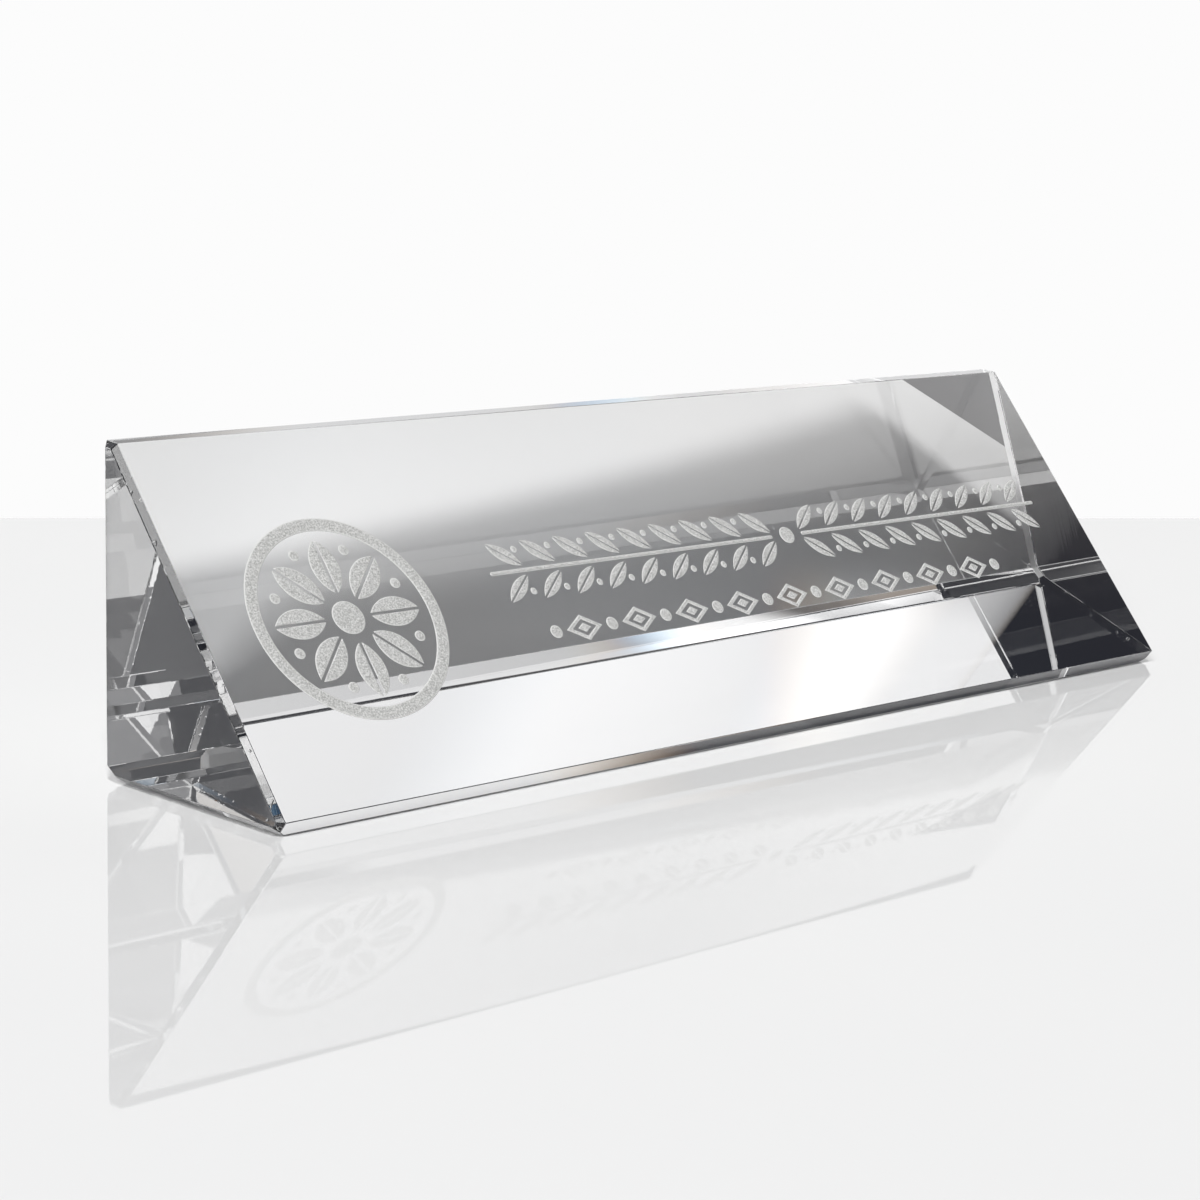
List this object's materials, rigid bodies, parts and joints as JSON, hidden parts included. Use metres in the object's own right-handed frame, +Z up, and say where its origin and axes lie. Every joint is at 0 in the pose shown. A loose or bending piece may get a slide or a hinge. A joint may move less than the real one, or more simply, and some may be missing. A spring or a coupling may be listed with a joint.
{
  "type": "desk name plate",
  "caption": "Free-standing desk name plate: a bevelled triangular bar of clear crystal with frosted ornament sunk in its sloping front.",
  "frame": {"origin": "on the desk, under the middle of the bar", "axes": "+X along the bar, the sloping front looks towards -Y, +Z up"},
  "size_m": [0.2, 0.0424, 0.05],
  "materials": {
    "crystal": "clear optical crystal, ground flat and polished",
    "frosted_fill": "sandblasted, fine-grained whitish frost"
  },
  "bodies": {
    "root": {"crystal_prism": "crystal", "medallion_ring": "frosted_fill", "medallion_petals": "frosted_fill", "medallion_boss": "frosted_fill", "medallion_pearls": "frosted_fill", "garland_knot": "frosted_fill", "garland_stem": "frosted_fill", "garland_upper_leaves": "frosted_fill", "garland_lower_leaves": "frosted_fill", "garland_berries": "frosted_fill", "row_beads": "frosted_fill", "row_lozenges": "frosted_fill"}
  },
  "joints": []
}
